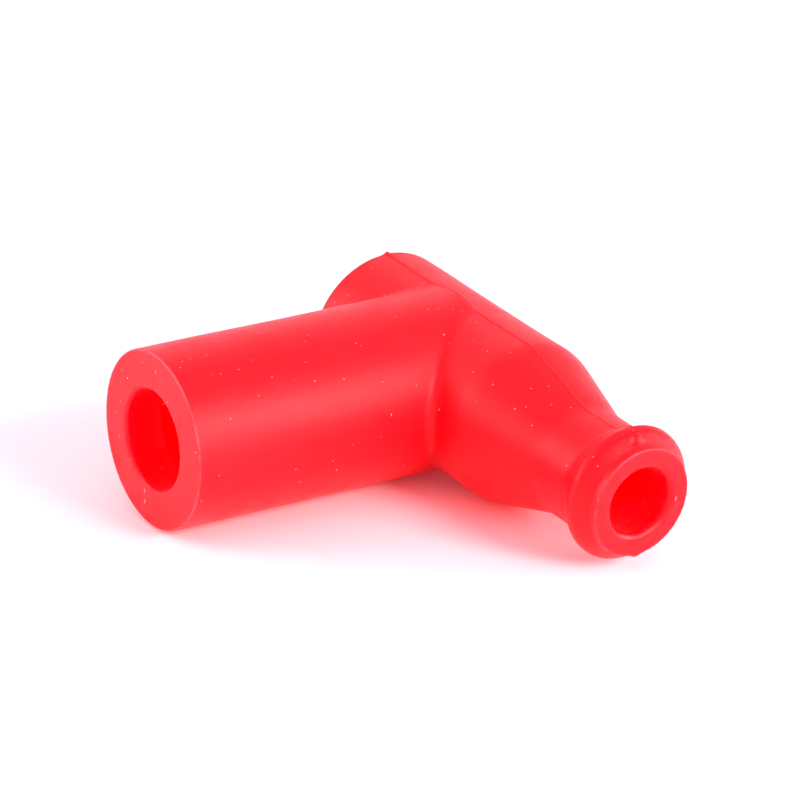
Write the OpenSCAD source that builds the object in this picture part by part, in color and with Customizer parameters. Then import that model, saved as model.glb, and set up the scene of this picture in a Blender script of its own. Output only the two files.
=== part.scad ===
// Right-angle silicone spark plug cap with its insulated core, resistor and plug terminal.
// +X runs out of the plug mouth and +Y out of the cable end. The origin is the centre of the
// plug mouth, and both bores' axes lie in the plane z = 0. All sizes are in millimetres.

/* [Plug tube] */
// Outside diameter at the plug mouth
tube_d = 20; // [19:0.1:21]
// Outside diameter where the tube meets the cable axis
tube_root_d = 20.2; // [19.4:0.1:21]
// Plug mouth to the cable axis
tube_len = 38.9; // [38.5:0.1:42]
// Bore that grips the spark plug's insulator
plug_bore_d = 11.2; // [10.8:0.1:11.8]
// Plug mouth to the front face of the core
plug_bore_depth = 20.5; // [20:0.1:21]

/* [Body] */
// Diameter of the body at its closed end
body_d = 18.9; // [18.4:0.1:19.4]
// Diameter of the body where its cone starts
shoulder_d = 18.6; // [18.4:0.1:19.2]
// Cable axis's crossing to the flat closed end
closed_len = 14.4; // [14:0.1:16]
// Rounding of the closed end's rim
closed_r = 0.8; // [0.3:0.1:1.5]
// Crossing to the start of the cone
cone_start = 14.5; // [14:0.1:16]
// Crossing to the end of the cone
cone_end = 24.8; // [24.5:0.1:27]

/* [Cable end] */
// Diameter of the neck
neck_d = 12.6; // [12.4:0.1:13.5]
// Crossing to the foot of the bead's back face
bead_start = 30.5; // [29:0.1:31]
// Crossing to the crest of the bead
bead_y = 33.1; // [32.8:0.1:34]
// Diameter over the bead's crest
bead_d = 15.3; // [14.6:0.1:16]
// Diameter of the spigot's flat face
spigot_d = 12.4; // [12:0.1:12.6]
// Crossing to the spigot's flat face
face_y = 35.8; // [35.6:0.1:37]
// Bore that seals on the ignition cable
cable_bore_d = 7.5; // [7:0.1:8]
// Pocket behind it, where the screw spreads the cable
pocket_d = 8.6; // [8.2:0.1:9]
// Rounding of the cable bore's mouth
cable_mouth_r = 0.5; // [0.2:0.1:0.8]
// Crossing to the front of that pocket
pocket_y = 26.4; // [26:0.1:28]

/* [Insulated core] */
// Diameter of the leg that holds the terminal
leg_d = 14; // [13.2:0.1:14.4]
// Diameter of the barrel that holds the resistor
barrel_d = 13; // [12:0.1:13.4]
// Diameter of the core's cable-side nose
nose_d = 10; // [9:0.1:10.4]
// Crossing to the barrel's closed end
barrel_back = 11.4; // [11:0.1:11.8]
// Crossing to the barrel's step down to the nose
barrel_front = 13; // [12:0.1:13.4]
// Cable axis to the flat along the barrel's back
barrel_flat = 5.8; // [5.4:0.1:6]
// Crossing to the nose's end
nose_end = 19; // [18.8:0.1:19.4]
// Wall between the seal washer and the barrel's chamber, from the plug mouth
web_depth = 31.2; // [31:0.1:32]

/* [Terminal] */
// Bore for the spark plug's screw-on nut
nut_bore_d = 6.5; // [6.4:0.05:6.6]
// Depth of that bore
nut_bore_depth = 8; // [7.5:0.1:8.4]
// Outside diameter of the socket
socket_d = 9.2; // [8.8:0.1:9.4]
// Plug mouth to the socket's front edge
socket_depth = 20.8; // [20.6:0.1:21.2]
// Diameter of the threaded shank
shank_d = 4; // [3.6:0.1:4.4]
// Diameter of the snap clip's spring wire
clip_wire_d = 0.8; // [0.6:0.05:0.9]

/* [Resistor and contacts] */
// Diameter of the contact bar that the shank screws into
bar_d = 5.8; // [5.4:0.1:6]
// Diameter of the resistor's end caps
cap_d = 5.5; // [5:0.1:5.6]
// Diameter of the contact spring's wire
spring_wire_d = 0.6; // [0.4:0.05:0.7]
// Thread ridges on the cable screw
screw_ridges = 4; // [3:1:5]

/* [Hidden] */
$fn = 96;

eps = 0.02;
running_gap = 0.05;

body_r = body_d / 2;
shoulder_r = shoulder_d / 2;
neck_r = neck_d / 2;
bead_r = bead_d / 2;
spigot_r = spigot_d / 2;

// The bead's rounded crest, and the spigot in front of it
crest_round = 1.1;
spigot_len = 0.9;

// Chamber in the barrel: end plug, contact bar, spring and resistor in one line
end_plug_len = 3;
end_plug_r = 4.2;
bar_back = -(barrel_back - end_plug_len);
bar_front = 3.4;
spring_len = 2.7;
resistor_back = bar_front + spring_len;
resistor_front = 15.6;
cap_len = 2;
cap_wall = 0.3;
rod_r = cap_d / 2 - cap_wall;
chamber_r = bar_d / 2 + running_gap;

// Cable screw: a base pressed into the nose and a pointed spike with thread ridges
screw_base_r = 3;
screw_base_end = 18.6;
spike_tip = 24.8;
spike_r = 1;
spike_ridge_r = 1.6;
spike_point = 1.6;

// Terminal socket and what surrounds it
counterbore_r = 5;
socket_r = socket_d / 2;
nut_r = nut_bore_d / 2;
socket_back = 30.6;
lead_in = 0.5;
driver_slot_w = 1;
driver_slot_h = 0.9;
shank_r = shank_d / 2;
shank_end = 40.4;
shank_hole_r = shank_r + 0.3;

// Snap clip: two arcs in the socket's groove and two straights that pass through its wall
clip_depth = socket_depth + 3.6;
clip_r = clip_wire_d / 2;
clip_arc_r = 4.4;
clip_straight = nut_r + running_gap + clip_r;
clip_corner = acos(clip_straight / clip_arc_r);
clip_gap = 24;
clip_straight_len = 2 * clip_arc_r * sin(clip_corner) + clip_r;
groove_w = clip_wire_d + 0.1;

// Contact spring: a helix with a small round wire
spring_r = 2.3;
spring_turns = 3;
spring_steps = 20;
wire_sides = 8;

function arc(cx, cy, r, a0, a1, n) =
    [for (i = [0:n]) let (a = a0 + (a1 - a0) * i / n) [cx + r * cos(a), cy + r * sin(a)]];

// Solids of revolution drawn as [radius, position] about +Y at the cable's axis
module about_cable_axis() {
    translate([-tube_len, 0, 0]) rotate([-90, 0, 0]) rotate_extrude() children();
}

// Cylinder on the plug's axis between two depths below the plug mouth
module plug_cyl(depth_a, depth_b, r) {
    translate([-depth_b, 0, 0]) rotate([0, 90, 0]) cylinder(h = depth_b - depth_a, r = r);
}

// Cylinder on the cable's axis between two distances from the crossing
module cable_cyl(y_a, y_b, r) {
    translate([-tube_len, y_a, 0]) rotate([-90, 0, 0]) cylinder(h = y_b - y_a, r = r);
}

module body_outline() {
    polygon(concat(
        [[0, -closed_len]],
        arc(body_r - closed_r, -closed_len + closed_r, closed_r, -90, 0, 6),
        [[shoulder_r, cone_start], [neck_r, cone_end], [neck_r, bead_start]],
        arc(bead_r - crest_round, bead_y, crest_round, -50, 50, 8),
        [[spigot_r, face_y - spigot_len], [spigot_r, face_y], [0, face_y]]));
}

module cable_bore_outline() {
    polygon(concat(
        [[0, nose_end - eps], [pocket_d / 2, nose_end - eps], [pocket_d / 2, pocket_y]],
        [[cable_bore_d / 2, pocket_y]],
        arc(cable_bore_d / 2 + cable_mouth_r, face_y - cable_mouth_r, cable_mouth_r, 180, 90, 6),
        [[cable_bore_d / 2 + cable_mouth_r, face_y + 1], [0, face_y + 1]]));
}

// The flat along the barrel's back keys the core in the silicone, so it can't turn
module core_outside() {
    plug_cyl(plug_bore_depth, tube_len, leg_d / 2);
    difference() {
        cable_cyl(-barrel_back, barrel_front, barrel_d / 2);
        translate([-tube_len - barrel_flat - barrel_d, -barrel_back - 1, -barrel_d])
            cube([barrel_d, barrel_back + barrel_front + 2, 2 * barrel_d]);
    }
    cable_cyl(barrel_front, nose_end, nose_d / 2);
}

module boot() {
    color("crimson")
    difference() {
        union() {
            translate([-tube_len, 0, 0]) rotate([0, 90, 0])
                cylinder(h = tube_len, r1 = tube_root_d / 2, r2 = tube_d / 2);
            about_cable_axis() body_outline();
        }
        plug_cyl(-1, plug_bore_depth + eps, plug_bore_d / 2);
        about_cable_axis() cable_bore_outline();
        core_outside();
    }
}

module insulator_core() {
    color("dimgray")
    difference() {
        core_outside();
        plug_cyl(plug_bore_depth - 1, web_depth, counterbore_r);
        plug_cyl(web_depth - eps, tube_len, shank_hole_r);
        cable_cyl(-barrel_back - 1, bar_back, end_plug_r);
        cable_cyl(bar_back - eps, resistor_front, chamber_r);
        cable_cyl(resistor_front - eps, nose_end + 1, screw_base_r);
    }
}

module core_end_plug() {
    color("slategray") cable_cyl(-barrel_back, bar_back, end_plug_r);
}

module contact_bar() {
    color("goldenrod")
    difference() {
        cable_cyl(bar_back, bar_front, bar_d / 2);
        plug_cyl(tube_len - bar_d, tube_len + bar_d, shank_r + running_gap);
    }
}

// One closed tube swept along the helix, with a ring of wire_sides points at each step
module contact_spring() {
    steps = spring_turns * spring_steps;
    rise = spring_len - spring_wire_d;
    r = spring_wire_d / 2;
    points = [for (i = [0:steps], k = [0:wire_sides - 1])
        let (a = 360 * i / spring_steps, b = 360 * k / wire_sides, q = spring_r + r * cos(b))
        [q * cos(a), q * sin(a), r + rise * i / steps + r * sin(b)]];
    sides = [for (i = [0:steps - 1], k = [0:wire_sides - 1])
        let (m = (k + 1) % wire_sides, a = i * wire_sides, b = a + wire_sides)
        [a + k, a + m, b + m, b + k]];
    first = [for (k = [0:wire_sides - 1]) wire_sides - 1 - k];
    last = [for (k = [0:wire_sides - 1]) steps * wire_sides + k];
    color("silver") translate([-tube_len, bar_front, 0]) rotate([-90, 0, 0])
        polyhedron(points, concat([first, last], sides), convexity = 6);
}

module resistor_rod() {
    color("ivory") cable_cyl(resistor_back + cap_wall, resistor_front - cap_wall, rod_r);
}

module resistor_cap_rear() {
    color("lightgray")
    difference() {
        cable_cyl(resistor_back, resistor_back + cap_len, cap_d / 2);
        cable_cyl(resistor_back + cap_wall, resistor_back + cap_len + 1, rod_r);
    }
}

module resistor_cap_front() {
    color("lightgray")
    difference() {
        cable_cyl(resistor_front - cap_len, resistor_front, cap_d / 2);
        cable_cyl(resistor_front - cap_len - 1, resistor_front - cap_wall, rod_r);
    }
}

// The ridges stand in for the cutting thread that bites into the cable's strands
module cable_screw() {
    pitch = (spike_tip - spike_point - screw_base_end) / screw_ridges;
    ridges = [for (i = [0:screw_ridges - 1], p = [[spike_r, 0.05], [spike_ridge_r, 0.5], [spike_r, 0.95]])
        [p[0], screw_base_end + pitch * (i + p[1])]];
    color("goldenrod")
    about_cable_axis()
        polygon(concat(
            [[0, resistor_front], [screw_base_r, resistor_front], [screw_base_r, screw_base_end]],
            [[spike_r, screw_base_end]], ridges, [[spike_r, spike_tip - spike_point], [0, spike_tip]]));
}

module seal_washer() {
    color("black")
    difference() {
        plug_cyl(socket_back, web_depth, socket_r);
        plug_cyl(socket_back - 1, web_depth + 1, shank_r + 2 * running_gap);
    }
}

module terminal_socket() {
    color("gold")
    difference() {
        union() {
            plug_cyl(socket_depth, socket_back, socket_r);
            plug_cyl(socket_back - eps, shank_end, shank_r);
        }
        plug_cyl(socket_depth - 1, socket_depth + nut_bore_depth, nut_r);
        translate([-socket_depth - lead_in, 0, 0]) rotate([0, 90, 0])
            cylinder(h = lead_in + eps, r1 = nut_r, r2 = nut_r + lead_in);
        // groove for the snap clip's arcs, and windows for its two straights
        difference() {
            plug_cyl(clip_depth - groove_w / 2, clip_depth + groove_w / 2, socket_r + 1);
            plug_cyl(clip_depth - groove_w, clip_depth + groove_w, clip_arc_r - clip_r - running_gap);
        }
        for (side = [-1, 1])
            translate([-clip_depth, side * (clip_straight - clip_r - running_gap + 1), 0])
                cube([groove_w, 2, clip_straight_len + clip_r], center = true);
        // screwdriver slot in the floor of the bore
        translate([-socket_depth - nut_bore_depth - driver_slot_h / 2 + eps, 0, 0])
            cube([driver_slot_h, 2 * nut_r - 0.4, driver_slot_w], center = true);
    }
}

module clip_arc(start, sweep) {
    rotate([0, 90, 0]) rotate([0, 0, start])
        rotate_extrude(angle = sweep) translate([clip_arc_r, 0]) circle(clip_r, $fn = 24);
}

// Two straights and, from corner to corner, one whole arc and one cut by the clip's gap
module snap_clip() {
    half_arc = 90 - clip_corner;
    lap = 3;
    color("silver")
    translate([-clip_depth, 0, 0]) {
        for (side = [-1, 1])
            translate([0, side * clip_straight, -clip_straight_len / 2])
                cylinder(h = clip_straight_len, r = clip_r, $fn = 24);
        clip_arc(-half_arc - lap, 2 * (half_arc + lap));
        clip_arc(180 - half_arc - lap, half_arc + lap - clip_gap / 2);
        clip_arc(180 + clip_gap / 2, half_arc + lap - clip_gap / 2);
    }
}

boot();
insulator_core();
core_end_plug();
contact_bar();
contact_spring();
resistor_rod();
resistor_cap_rear();
resistor_cap_front();
cable_screw();
seal_washer();
terminal_socket();
snap_clip();
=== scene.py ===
"""Right-angle silicone spark plug cap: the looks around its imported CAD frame.

The boot is meshed from a distance function, because its corners, junction fillet, parting flash and
moulding marks run into each other. The other pieces are the CAD nodes with procedural materials.
All distance functions are in millimetres.
"""

import math

import bpy
import numpy as np
from mathutils import Matrix, Vector

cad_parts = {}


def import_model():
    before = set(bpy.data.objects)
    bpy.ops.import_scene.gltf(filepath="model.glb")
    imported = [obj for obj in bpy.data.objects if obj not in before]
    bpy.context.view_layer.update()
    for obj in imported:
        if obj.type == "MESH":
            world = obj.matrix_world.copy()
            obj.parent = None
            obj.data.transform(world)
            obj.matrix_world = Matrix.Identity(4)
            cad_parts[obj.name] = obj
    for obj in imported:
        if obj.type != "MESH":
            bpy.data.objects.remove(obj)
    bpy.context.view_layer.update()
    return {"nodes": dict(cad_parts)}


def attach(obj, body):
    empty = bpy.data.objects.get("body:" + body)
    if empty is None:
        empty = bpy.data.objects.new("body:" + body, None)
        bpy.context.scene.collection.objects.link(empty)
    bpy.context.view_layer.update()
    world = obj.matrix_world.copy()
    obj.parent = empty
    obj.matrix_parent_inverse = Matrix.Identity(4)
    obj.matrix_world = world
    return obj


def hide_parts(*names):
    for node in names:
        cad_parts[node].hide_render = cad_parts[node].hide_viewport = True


MM = 0.001

# ---------------------------------------------------------------- the boot's sizes, in millimetres
# u is the distance from the cable's axis towards the plug mouth, and y runs along the cable's axis.
AXIS_X = -38.9
TUBE_ROOT_R = 10.1
TUBE_MOUTH_R = 10.0
TUBE_RIM_R = 0.18
TUBE_HEEL_R = 0.45
PLUG_BORE_R = 5.6
PLUG_BORE_DEPTH = 20.5
PLUG_MOUTH_R = 0.45
RIB_DEPTH = 4.4
RIB_HEIGHT = 0.25
RIB_WIDTH = 0.55

CLOSED_Y = -14.4
CLOSED_RIM_R = 0.8
FACE_Y = 35.8
FACE_RIM_R = 0.1
SPIGOT_R = 6.18
BEAD_CREST_Y = 33.75
# The body's outline as straight runs with softened corners: (y, radius, softness)
OUTLINE = [
    (-14.4, 9.45, 1.0),
    (11.0, 9.33, 1.0),
    (14.3, 9.45, 0.5),
    (24.8, 6.3, 0.4),
    (30.4, 6.3, 0.22),
    (32.85, 7.7, 0.045),
    (33.6, 7.64, 0.26),
    (35.05, 6.24, 0.07),
    (35.8, SPIGOT_R, 0.1),
]
# The bead's rear edge is crisp over the top, and softer down its sides
REAR_EDGE_Y = 32.85
REAR_EDGE_SOFT = 0.28
CABLE_BORE_R = 3.75
CABLE_MOUTH_R = 0.85
POCKET_R = 4.3
POCKET_Y = 26.4
NOSE_R = 5.0
NOSE_END = 19.0
LEG_R = 7.0
BARREL_R = 6.5
BARREL_BACK = -11.4
BARREL_FRONT = 13.0
BARREL_FLAT = -5.8

# Fillet where the tube meets the body: small over the top, larger down the sides
FILLET_TOP = 0.45
FILLET_SIDE = 1.3

FLASH_HEIGHT = 0.1
FLASH_WIDTH = 0.085
# Where the flash tore unevenly: (y, extra height, length)
TORN_FLASH = [
    (-9.0, 0.05, 0.8),
    (-3.5, 0.06, 1.1),
    (7.3, 0.07, 0.3),
    (13.4, 0.09, 0.25),
    (16.2, 0.12, 0.2),
    (17.6, 0.08, 0.35),
    (19.3, 0.14, 0.2),
    (20.6, 0.10, 0.3),
    (22.7, 0.08, 0.25),
    (27.4, 0.06, 0.4),
]
# The far mould half stands this much proud of the near one
HALF_STEP = 0.06
HALF_STEP_SOFT = 0.05
# Moulding marks on the bead, the face and the closed end's rim: (depth, centre as u y z, radius)
MARKS = [
    (0.38, (0.75, 34.5, 6.75), 0.26),
    (-0.30, (0.05, 34.2, 7.10), 0.32),
    (-0.14, (-0.35, 34.5, 6.90), 0.24),
    (-0.40, (0.0, 35.3, -6.45), 0.55),
    (-0.15, (0.1, -14.0, 9.3), 0.5),
]
# Small nibs just inside the cable bore's mouth
NIB_HEIGHT = 0.22
NIB_R = 0.34
NIBS = [(3.7, 34.6, 0.4), (-3.6, 34.6, -1.1)]
WAVE_HEIGHT = 0.012


# ---------------------------------------------------------------- distance function helpers
def smooth(a, b, t):
    s = np.clip((t - a) / (b - a), 0.0, 1.0)
    return s * s * (3.0 - 2.0 * s)


def round_max(a, b, r):
    """Intersection whose convex edge is rounded by r."""
    return np.minimum(-r, np.maximum(a, b)) + np.hypot(np.maximum(a + r, 0.0), np.maximum(b + r, 0.0))


def round_min(a, b, r):
    """Union whose concave edge is filled by r."""
    return -round_max(-a, -b, r)


def bump(x, y, z, centre, radius):
    """1 at a point, and falling to 0 about 2 radii from it."""
    d = (x - centre[0]) ** 2 + (y - centre[1]) ** 2 + (z - centre[2]) ** 2
    return np.exp(-d / radius**2)


def outline_radius(y, z):
    """The body's radius at y, and the length of its normal, for scaling the distance."""
    slopes = []
    for a, b in zip(OUTLINE, OUTLINE[1:]):
        slopes.append((b[1] - a[1]) / (b[0] - a[0]))
    radius = OUTLINE[0][1] + slopes[0] * (y - OUTLINE[0][0])
    slope = np.full_like(y, slopes[0])
    for (at, _, soft), before, after in zip(OUTLINE[1:-1], slopes, slopes[1:]):
        if at == REAR_EDGE_Y:
            soft = soft + (REAR_EDGE_SOFT - soft) * smooth(5.0, 1.5, z)
        t = (y - at) / soft
        radius = radius + (after - before) * soft * np.logaddexp(0.0, t)
        slope = slope + (after - before) / (1.0 + np.exp(-np.clip(t, -40.0, 40.0)))
    return radius, np.sqrt(1.0 + slope * slope)


def flash_height(y, z):
    """The parting flash isn't even: its height wanders along the line."""
    along = y * np.sign(z + 0.01)
    wander = np.sin(0.83 * along + 0.6) + 0.7 * np.sin(2.3 * along + 1.9) + 0.5 * np.sin(5.1 * along)
    height = FLASH_HEIGHT * (1.0 + 0.22 * wander) + 0.05 * smooth(3.0, 0.0, y)
    for at, extra, length in TORN_FLASH:
        height = height + extra * np.exp(-(((along - at) / length) ** 2))
    return height


def boot_outside(x, y, z):
    """The boot with no bores: tube and body joined, their rims rounded, and the mould's traces."""
    u = x - AXIS_X
    across = np.hypot(y, z)
    around = np.hypot(u, z)
    tube_r = TUBE_ROOT_R + (TUBE_MOUTH_R - TUBE_ROOT_R) * u / -AXIS_X
    tube = round_max(across - tube_r, -u, TUBE_HEEL_R)
    radius, scale = outline_radius(y, z)
    body = (around - radius) / scale
    body = round_max(body, CLOSED_Y - y, CLOSED_RIM_R)
    body = round_max(body, y - FACE_Y, FACE_RIM_R)
    side = smooth(0.0, 1.0, 1.0 - np.abs(z) / 9.5)
    fillet = FILLET_TOP + (FILLET_SIDE - FILLET_TOP) * side
    solid = round_min(tube, body, fillet)
    solid = round_max(solid, x, TUBE_RIM_R)
    # the two mould halves: a low step and a thin ridge of flash where they met
    on_side = smooth(3.0, 5.0, np.abs(z)) * smooth(33.1, 32.7, y)
    far_half = 0.5 - 0.5 * np.tanh(u / HALF_STEP_SOFT)
    solid = solid - HALF_STEP * far_half * smooth(27.0, 22.0, y) * smooth(0.5, 3.0, np.abs(z))
    solid = solid - on_side * flash_height(y, z) * np.exp(-((u / FLASH_WIDTH) ** 2))
    for depth, centre, radius in MARKS:
        solid = solid + depth * bump(u, y, z, centre, radius)
    # silicone's faint waviness
    wave = np.sin(0.31 * x + 0.9) * np.sin(0.37 * y + 0.4) + np.sin(0.29 * y - 0.33 * z + 1.0)
    return solid - WAVE_HEIGHT * wave


def boot_cavities(x, y, z):
    """The plug bore, the cable bore, and the room for the moulded-in core."""
    u = x - AXIS_X
    across = np.hypot(y, z)
    around = np.hypot(u, z)
    rib = RIB_HEIGHT * np.exp(-(((x + RIB_DEPTH) / RIB_WIDTH) ** 2))
    plug = np.maximum(across - PLUG_BORE_R + rib, -PLUG_BORE_DEPTH - x)
    cable = np.maximum(around - CABLE_BORE_R, POCKET_Y - y)
    pocket = np.maximum(around - POCKET_R, np.maximum(NOSE_END - y, y - POCKET_Y))
    leg = np.maximum(across - LEG_R, np.maximum(x + PLUG_BORE_DEPTH, -u))
    barrel = np.maximum(around - BARREL_R, np.maximum(BARREL_BACK - y, y - BARREL_FRONT))
    barrel = np.maximum(barrel, BARREL_FLAT - u)
    nose = np.maximum(around - NOSE_R, np.maximum(-y, y - NOSE_END))
    nibs = bump(u, y, z, NIBS[0], NIB_R) + bump(u, y, z, NIBS[1], NIB_R)
    core = np.minimum(np.minimum(leg, barrel), np.minimum(nose, pocket))
    return plug, cable + NIB_HEIGHT * nibs, core


def boot_distance(x, y, z):
    solid = boot_outside(x, y, z)
    plug, cable, core = boot_cavities(x, y, z)
    solid = round_max(solid, -plug, PLUG_MOUTH_R)
    solid = round_max(solid, -cable, CABLE_MOUTH_R)
    return np.maximum(solid, -core)


def gradient(distance, p, h=0.012):
    g = np.empty_like(p)
    for axis in range(3):
        step = np.zeros(3)
        step[axis] = h
        ahead = distance(*(p + step).T)
        behind = distance(*(p - step).T)
        g[:, axis] = (ahead - behind) / (2.0 * h)
    return g


def painted_rim_highlight(p):
    """1 along the trimmed rims, where a paler red is painted on as a highlight, and 0 elsewhere."""
    across = np.hypot(p[:, 1], p[:, 2])
    around = np.hypot(p[:, 0] - AXIS_X, p[:, 2])
    mouth = np.hypot(across - TUBE_MOUTH_R + 0.06, p[:, 0] + 0.06)
    face = np.hypot(around - SPIGOT_R + 0.03, p[:, 1] - FACE_Y + 0.03)
    return np.maximum(np.exp(-((mouth / 0.1) ** 2)), 0.6 * np.exp(-((face / 0.09) ** 2)))


def polish(p):
    """Up to 1 where the mould was smoother: the bead's crest and the cable bore's mouth."""
    around = np.hypot(p[:, 0] - AXIS_X, p[:, 2])
    bead = np.exp(-(((p[:, 1] - BEAD_CREST_Y) / 0.4) ** 2)) * smooth(3.0, 6.0, p[:, 2])
    mouth = np.hypot(around - CABLE_BORE_R - 0.3, p[:, 1] - FACE_Y + 0.3)
    return np.maximum(0.5 * bead, np.exp(-((mouth / 0.7) ** 2)))


# ---------------------------------------------------------------- surface nets
def ticks(start, runs):
    """Grid lines from start through (end, spacing) runs."""
    out = [start]
    for end, spacing in runs:
        count = max(1, round((end - out[-1]) / spacing))
        out.extend(np.linspace(out[-1], end, count + 1)[1:])
    return np.array(out)


CORNERS = [(i, j, k) for i in (0, 1) for j in (0, 1) for k in (0, 1)]


def cell_vertices(axes, f):
    """One point in each cell the surface passes through, at the mean of its edge crossings."""
    inside = f < 0.0
    count = np.zeros(tuple(n - 1 for n in f.shape), np.int8)
    for i, j, k in CORNERS:
        count += inside[i : i + count.shape[0], j : j + count.shape[1], k : k + count.shape[2]]
    cells = np.argwhere((count > 0) & (count < 8))
    index = np.full(count.shape, -1, np.int64)
    index[tuple(cells.T)] = np.arange(len(cells))
    total = np.zeros((len(cells), 3))
    hits = np.zeros(len(cells))
    for a in CORNERS:
        for axis in range(3):
            if a[axis]:
                continue
            b = list(a)
            b[axis] = 1
            pa = cells + np.array(a)
            pb = cells + np.array(b)
            fa = f[tuple(pa.T)]
            fb = f[tuple(pb.T)]
            cut = (fa < 0.0) != (fb < 0.0)
            t = np.where(cut, fa / np.where(cut, fa - fb, 1.0), 0.0)[:, None]
            xa = np.stack([axes[n][pa[:, n]] for n in range(3)], 1)
            xb = np.stack([axes[n][pb[:, n]] for n in range(3)], 1)
            total += np.where(cut[:, None], xa + t * (xb - xa), 0.0)
            hits += cut
    return total / hits[:, None], index


def cell_quads(f, index):
    """One quad around each grid edge the surface crosses, wound to face outwards."""
    inside = f < 0.0
    quads = []
    for axis in range(3):
        b = (axis + 1) % 3
        c = (axis + 2) % 3
        lower = [slice(None)] * 3
        upper = [slice(None)] * 3
        lower[axis] = slice(0, -1)
        upper[axis] = slice(1, None)
        starts = inside[tuple(lower)]
        edges = np.argwhere(starts != inside[tuple(upper)])
        edges = edges[(edges[:, b] > 0) & (edges[:, c] > 0)]
        out = starts[tuple(edges.T)]
        around = []
        for db, dc in ((-1, -1), (0, -1), (0, 0), (-1, 0)):
            cell = edges.copy()
            cell[:, b] += db
            cell[:, c] += dc
            around.append(index[tuple(cell.T)])
        quad = np.stack(around, 1)
        quad[~out] = quad[~out][:, ::-1]
        quads.append(quad)
    return np.concatenate(quads)


def meshed(distance, axes, passes):
    """Vertices on the surface distance = 0, their normals, and quads."""
    f = np.empty(tuple(len(a) for a in axes))
    for i, x in enumerate(axes[0]):
        y, z = np.meshgrid(axes[1], axes[2], indexing="ij")
        f[i] = distance(np.full_like(y, x), y, z)
    points, index = cell_vertices(axes, f)
    quads = cell_quads(f, index)
    for _ in range(passes):
        g = gradient(distance, points)
        step = distance(*points.T) / np.maximum(np.sum(g * g, 1), 0.2)
        points = points - np.clip(step, -0.15, 0.15)[:, None] * g
    g = gradient(distance, points, 0.02)
    normals = g / np.maximum(np.linalg.norm(g, axis=1, keepdims=True), 1e-9)
    return points, normals, quads


# ---------------------------------------------------------------- Blender helpers
def new_object(name, points, faces, normals=None):
    mesh = bpy.data.meshes.new(name)
    mesh.from_pydata((np.asarray(points) * MM).tolist(), [], np.asarray(faces).tolist())
    mesh.update()
    mesh.shade_smooth()
    if normals is not None:
        mesh.normals_split_custom_set_from_vertices(normals.tolist())
    obj = bpy.data.objects.new(name, mesh)
    bpy.context.scene.collection.objects.link(obj)
    return obj


def node(tree, kind, **values):
    made = tree.nodes.new(kind)
    for key, value in values.items():
        if hasattr(made, key):
            setattr(made, key, value)
        else:
            made.inputs[key].default_value = value
    return made


def noise(tree, coords, scale, detail=3.0, roughness=0.5):
    made = node(tree, "ShaderNodeTexNoise", Scale=scale, Detail=detail, Roughness=roughness)
    tree.links.new(coords, made.inputs["Vector"])
    return made.outputs["Fac"]


def remapped(tree, value, low, high, to_low, to_high):
    made = tree.nodes.new("ShaderNodeMapRange")
    for key, number in (("From Min", low), ("From Max", high), ("To Min", to_low), ("To Max", to_high)):
        made.inputs[key].default_value = number
    tree.links.new(value, made.inputs["Value"])
    return made.outputs["Result"]


def mixed(tree, factor, a, b):
    """Colour a where factor is 0 and b where it is 1. Each is a socket or a colour."""
    made = tree.nodes.new("ShaderNodeMix")
    made.data_type = "RGBA"
    colour_a, colour_b = (s for s in made.inputs if s.identifier in ("A_Color", "B_Color"))
    tree.links.new(factor, made.inputs["Factor"])
    for socket, value in ((colour_a, a), (colour_b, b)):
        if isinstance(value, bpy.types.NodeSocket):
            tree.links.new(value, socket)
        else:
            socket.default_value = value
    return next(s for s in made.outputs if s.identifier == "Result_Color")


def math_node(tree, operation, a, b):
    made = node(tree, "ShaderNodeMath", operation=operation)
    for socket, value in zip(made.inputs, (a, b)):
        if isinstance(value, bpy.types.NodeSocket):
            tree.links.new(value, socket)
        else:
            socket.default_value = value
    return made.outputs["Value"]


def material(name):
    made = bpy.data.materials.new(name)
    made.use_nodes = True
    tree = made.node_tree
    shader = tree.nodes["Principled BSDF"]
    coords = tree.nodes.new("ShaderNodeTexCoord").outputs["Object"]
    return made, tree, shader, coords


def bumped(tree, shader, height, strength, distance):
    made = node(tree, "ShaderNodeBump", Strength=strength, Distance=distance)
    tree.links.new(height, made.inputs["Height"])
    tree.links.new(made.outputs["Normal"], shader.inputs["Normal"])


def specks(tree, coords, cell_mm, size, threshold, stretch=None):
    """Rare specks: 1 inside a speck, 0 elsewhere. Only cells above the threshold have one.
    stretch is (turn in radians about each axis, length over width) for short fibres."""
    if stretch:
        mapped = tree.nodes.new("ShaderNodeMapping")
        mapped.inputs["Rotation"].default_value = stretch[0]
        mapped.inputs["Scale"].default_value = (1.0, 1.0, 1.0 / stretch[1])
        tree.links.new(coords, mapped.inputs["Vector"])
        coords = mapped.outputs["Vector"]
    cells = node(tree, "ShaderNodeTexVoronoi", Scale=1000.0 / cell_mm)
    tree.links.new(coords, cells.inputs["Vector"])
    near = math_node(tree, "LESS_THAN", cells.outputs["Distance"], size)
    split = tree.nodes.new("ShaderNodeSeparateColor")
    tree.links.new(cells.outputs["Color"], split.inputs["Color"])
    chosen = math_node(tree, "GREATER_THAN", split.outputs["Red"], threshold)
    return math_node(tree, "MULTIPLY", near, chosen)


def attribute_value(tree, name):
    return node(tree, "ShaderNodeAttribute", attribute_name=name).outputs["Fac"]


# ---------------------------------------------------------------- materials
RED = (0.93, 0.0006, 0.009, 1.0)
RED_DEEP = (0.88, 0.0004, 0.007, 1.0)
# The paler red that is painted along the trimmed rims as a highlight
RED_PAINTED_HIGHLIGHT = (0.98, 0.2, 0.24, 1.0)
DUST = (0.95, 0.5, 0.52, 1.0)
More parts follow.
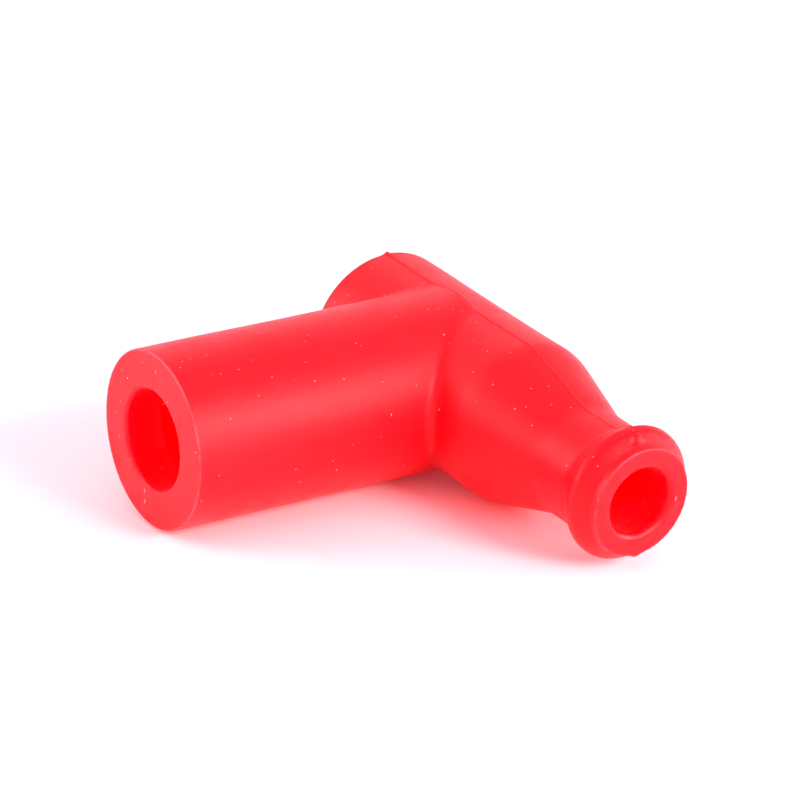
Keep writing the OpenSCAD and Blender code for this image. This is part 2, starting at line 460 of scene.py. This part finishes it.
# What a lamp's light keeps at each silicone surface it crosses
THROUGH = (0.78, 0.0, 0.08, 1.0)
SOOT = (0.16, 0.01, 0.01, 1.0)
PHENOLIC = (0.035, 0.022, 0.016, 1.0)
PHENOLIC_DARK = (0.018, 0.012, 0.01, 1.0)
RUBBER = (0.02, 0.02, 0.021, 1.0)
RUBBER_DARK = (0.012, 0.012, 0.012, 1.0)
BRASS = (0.78, 0.55, 0.22, 1.0)
BRASS_DARK = (0.55, 0.33, 0.11, 1.0)
NICKEL = (0.72, 0.70, 0.66, 1.0)
NICKEL_DARK = (0.52, 0.49, 0.44, 1.0)
STEEL = (0.6, 0.6, 0.61, 1.0)
STEEL_DARK = (0.4, 0.39, 0.38, 1.0)
CERAMIC = (0.78, 0.75, 0.68, 1.0)
CERAMIC_DARK = (0.68, 0.63, 0.55, 1.0)
PAPER = (0.93, 0.93, 0.93, 1.0)
PAPER_LIGHT = (0.96, 0.96, 0.96, 1.0)


def dusted(tree, coords, base):
    """Settled dust, short lint and a few dark specks, as on any handled silicone."""
    dust = specks(tree, coords, 2.2, 0.045, 0.80)
    fine = specks(tree, coords, 1.2, 0.05, 0.86)
    lint = specks(tree, coords, 0.65, 0.09, 0.92, ((0.5, 0.9, 0.3), 5.0))
    more_lint = specks(tree, coords, 0.7, 0.08, 0.90, ((1.3, -0.6, 0.8), 6.0))
    pale = math_node(tree, "MAXIMUM", dust, fine)
    pale = math_node(tree, "MAXIMUM", pale, lint)
    pale = math_node(tree, "MAXIMUM", pale, more_lint)
    base = mixed(tree, pale, base, DUST)
    return mixed(tree, specks(tree, coords, 2.6, 0.03, 0.93), base, SOOT)


def let_lamps_through(tree, shader):
    """Silicone isn't quite opaque: light that has crossed its walls is red, and so is its shadow."""
    passing = node(tree, "ShaderNodeBsdfTransparent", Color=THROUGH)
    either = tree.nodes.new("ShaderNodeMixShader")
    path = tree.nodes.new("ShaderNodeLightPath")
    tree.links.new(path.outputs["Is Shadow Ray"], either.inputs["Fac"])
    tree.links.new(shader.outputs["BSDF"], either.inputs[1])
    tree.links.new(passing.outputs["BSDF"], either.inputs[2])
    tree.links.new(either.outputs["Shader"], tree.nodes["Material Output"].inputs["Surface"])


def silicone():
    made, tree, shader, coords = material("silicone")
    clouds = noise(tree, coords, 180.0, 4.0)
    base = mixed(tree, remapped(tree, clouds, 0.35, 0.65, 0.0, 1.0), RED, RED_DEEP)
    # Painted highlight: a paler red along the trimmed rims, broken up by noise
    rim_highlight = math_node(tree, "MULTIPLY", attribute_value(tree, "painted_rim_highlight"), noise(tree, coords, 350.0, 3.0))
    base = mixed(tree, rim_highlight, base, RED_PAINTED_HIGHLIGHT)
    tree.links.new(dusted(tree, coords, base), shader.inputs["Base Color"])
    shader.inputs["Subsurface Weight"].default_value = 1.0
    shader.inputs["Subsurface Radius"].default_value = (1.0, 0.006, 0.012)
    shader.inputs["Subsurface Scale"].default_value = 0.007
    shader.inputs["IOR"].default_value = 1.43
    shader.inputs["Specular IOR Level"].default_value = 0.3
    shader.inputs["Sheen Weight"].default_value = 0.03
    shader.inputs["Sheen Roughness"].default_value = 0.45
    shader.inputs["Sheen Tint"].default_value = (1.0, 0.75, 0.8, 1.0)
    patches = remapped(tree, noise(tree, coords, 300.0, 5.0), 0.3, 0.7, 0.34, 0.44)
    smoother = math_node(tree, "MULTIPLY", attribute_value(tree, "polish"), 0.26)
    tree.links.new(math_node(tree, "SUBTRACT", patches, smoother), shader.inputs["Roughness"])
    grain = noise(tree, coords, 5200.0, 3.0)
    peel = math_node(tree, "MULTIPLY", noise(tree, coords, 900.0, 2.0), 0.5)
    bumped(tree, shader, math_node(tree, "ADD", grain, peel), 0.9, 0.00006)
    let_lamps_through(tree, shader)
    return made


def metal(name, colour, dark, rough, ring_scale, axis):
    """Turned or drawn metal: fine rings about the axis, and slight tarnish."""
    made, tree, shader, coords = material(name)
    split = tree.nodes.new("ShaderNodeSeparateXYZ")
    tree.links.new(coords, split.inputs["Vector"])
    turned = node(tree, "ShaderNodeTexNoise", Scale=ring_scale, Detail=4.0, noise_dimensions="1D")
    tree.links.new(split.outputs[axis], turned.inputs["W"])
    tarnish = noise(tree, coords, 420.0, 5.0)
    base = mixed(tree, remapped(tree, tarnish, 0.35, 0.75, 0.0, 0.8), colour, dark)
    tree.links.new(base, shader.inputs["Base Color"])
    shader.inputs["Metallic"].default_value = 1.0
    tree.links.new(remapped(tree, tarnish, 0.3, 0.7, rough, rough + 0.14), shader.inputs["Roughness"])
    bumped(tree, shader, turned.outputs["Fac"], 0.35, 0.00002)
    return made


def moulded(name, colour, dark, rough, grain_scale, grain_depth):
    """Phenolic, rubber or ceramic: mottled colour and a fine moulded or fired grain."""
    made, tree, shader, coords = material(name)
    mottle = noise(tree, coords, 600.0, 6.0, 0.6)
    base = mixed(tree, remapped(tree, mottle, 0.35, 0.7, 0.0, 1.0), colour, dark)
    tree.links.new(base, shader.inputs["Base Color"])
    tree.links.new(remapped(tree, mottle, 0.3, 0.7, rough, rough + 0.15), shader.inputs["Roughness"])
    bumped(tree, shader, noise(tree, coords, grain_scale, 4.0), 0.4, grain_depth)
    return made


def all_materials():
    return {
        "silicone": silicone(),
        "brass": metal("brass", BRASS, BRASS_DARK, 0.22, 9000.0, "X"),
        "nickel": metal("nickel", NICKEL, NICKEL_DARK, 0.2, 7000.0, "Y"),
        "spring_steel": metal("spring_steel", STEEL, STEEL_DARK, 0.24, 6000.0, "Z"),
        "phenolic": moulded("phenolic", PHENOLIC, PHENOLIC_DARK, 0.32, 1800.0, 4e-5),
        "ceramic": moulded("ceramic", CERAMIC, CERAMIC_DARK, 0.3, 2600.0, 1e-5),
        "seal_rubber": moulded("seal_rubber", RUBBER, RUBBER_DARK, 0.55, 3000.0, 2e-5),
    }


# ---------------------------------------------------------------- pieces
NODE_SLOTS = {
    "boot": "silicone",
    "insulator_core": "phenolic",
    "core_end_plug": "phenolic",
    "contact_bar": "brass",
    "contact_spring": "spring_steel",
    "resistor_rod": "ceramic",
    "resistor_cap_rear": "nickel",
    "resistor_cap_front": "nickel",
    "cable_screw": "brass",
    "seal_washer": "seal_rubber",
    "terminal_socket": "brass",
    "snap_clip": "spring_steel",
}


def boot_grid():
    """Grid lines along x, y and z, closest where the surface turns most."""
    coarse = 1.0
    x_seam_steps = [(-39.9, 0.35), (-39.2, 0.1), (-38.6, 0.05), (-38.1, 0.1)]
    x_tube_steps = [(-28.0, 0.3), (-21.0, 0.45), (-20.0, 0.25), (-7.0, 0.45), (-2.0, 0.25), (0.25, 0.12)]
    by_seam = ticks(-48.95, [(end, step * coarse) for end, step in x_seam_steps])
    by_tube = ticks(-38.1, [(end, step * coarse) for end, step in x_tube_steps])
    x = np.append(by_seam[:-1], by_tube)
    y_steps = [(-13.2, 0.15), (25.0, 0.3), (30.0, 0.32), (36.1, 0.12)]
    y = ticks(-14.85, [(end, step * coarse) for end, step in y_steps])
    z = ticks(-10.5, [(10.5, 0.22 * coarse)])
    return x, y, z


def make_boot():
    points, normals, quads = meshed(boot_distance, boot_grid(), 4)
    boot = new_object("boot_silicone", points, quads, normals)
    # painted_rim_highlight marks where the rims get a painted highlight
    for name, values in (("painted_rim_highlight", painted_rim_highlight(points)), ("polish", polish(points))):
        attribute = boot.data.attributes.new(name, "FLOAT", "POINT")
        attribute.data.foreach_set("value", values.astype(np.float32))
    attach(boot, "cap")
    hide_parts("boot")
    return boot


def paint_nodes(frame, materials):
    for name, slot in NODE_SLOTS.items():
        mesh = frame["nodes"][name].data
        mesh.materials.clear()
        mesh.materials.append(materials[slot])


# ---------------------------------------------------------------- stage
# The camera's three axes and its place
VIEW_BACK = Vector((0.52720726, 0.73781195, 0.4215282))
VIEW_RIGHT = Vector((-0.8292352, 0.55503167, 0.06564168))
VIEW_UP = Vector((-0.18553028, -0.3841528, 0.90443637))
CAMERA_PLACE = Vector((0.183252, 0.301568, 0.170473))
LENS = 164.1
# The table's tilt about the part's x axis, in degrees
FLOOR_TILT = 3.2
FLOOR_HALF = 3.0
LAMP_TINT = (1.0, 0.95, 1.0)
LAMP_AIM = (-0.03, 0.005, 0.0)
# (name, place, size, power in watts)
LAMPS = [
    ("key", (-0.14, 0.44, 0.25), (0.18, 0.18), 2.2),
    ("right_bank", (-0.62, 0.36, 0.22), (0.4, 0.3), 3.6),
    ("left_bank", (0.55, -0.42, 0.24), (0.5, 0.3), 3.2),
    ("back_bank", (-0.25, -0.70, 0.32), (0.9, 0.4), 0.3),
]
WORLD_TINT = (1.0, 0.88, 0.98, 1.0)
WORLD_STRENGTH = 0.86


def add_camera():
    data = bpy.data.cameras.new("camera")
    data.lens = LENS
    data.sensor_width = 36.0
    data.clip_start = 0.01
    data.clip_end = 20.0
    camera = bpy.data.objects.new("camera", data)
    bpy.context.scene.collection.objects.link(camera)
    turn = Matrix((VIEW_RIGHT, VIEW_UP, VIEW_BACK)).transposed()
    camera.matrix_world = Matrix.Translation(CAMERA_PLACE) @ turn.to_4x4()
    bpy.context.scene.camera = camera


def floor_normal():
    tilt = math.radians(FLOOR_TILT)
    return Vector((0.0, -math.sin(tilt), math.cos(tilt)))


def add_floor(boot):
    """A wide table plane that touches the boot's lowest point."""
    normal = floor_normal()
    co = np.empty(len(boot.data.vertices) * 3)
    boot.data.vertices.foreach_get("co", co)
    lowest = float((co.reshape(-1, 3) @ np.array(normal)).min())
    mesh = bpy.data.meshes.new("floor")
    half = FLOOR_HALF
    corners = [(-half, -half, 0), (half, -half, 0), (half, half, 0), (-half, half, 0)]
    mesh.from_pydata(corners, [], [(0, 1, 2, 3)])
    floor = bpy.data.objects.new("floor", mesh)
    bpy.context.scene.collection.objects.link(floor)
    turn = normal.to_track_quat("Z", "Y").to_matrix().to_4x4()
    floor.matrix_world = Matrix.Translation(normal * lowest) @ turn
    made, tree, shader, coords = material("table")
    paper = noise(tree, coords, 900.0, 3.0)
    tree.links.new(mixed(tree, paper, PAPER, PAPER_LIGHT), shader.inputs["Base Color"])
    shader.inputs["Roughness"].default_value = 0.7
    shader.inputs["Specular IOR Level"].default_value = 0.2
    mesh.materials.append(made)


def area_light(name, place, size, power):
    data = bpy.data.lights.new(name, "AREA")
    data.shape = "RECTANGLE"
    data.size, data.size_y = size
    data.energy = power
    data.color = LAMP_TINT
    lamp = bpy.data.objects.new(name, data)
    bpy.context.scene.collection.objects.link(lamp)
    aim = (Vector(place) - Vector(LAMP_AIM)).to_track_quat("Z", "Y")
    lamp.matrix_world = Matrix.Translation(place) @ aim.to_matrix().to_4x4()


def add_lights():
    for name, place, size, power in LAMPS:
        area_light(name, place, size, power)
    world = bpy.data.worlds.new("studio")
    world.use_nodes = True
    background = world.node_tree.nodes["Background"]
    background.inputs["Color"].default_value = WORLD_TINT
    background.inputs["Strength"].default_value = WORLD_STRENGTH
    bpy.context.scene.world = world


def main():
    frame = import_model()
    scene = bpy.context.scene
    scene.view_settings.view_transform = "Standard"
    materials = all_materials()
    paint_nodes(frame, materials)
    boot = make_boot()
    boot.data.materials.append(materials["silicone"])
    add_camera()
    add_floor(boot)
    add_lights()


main()
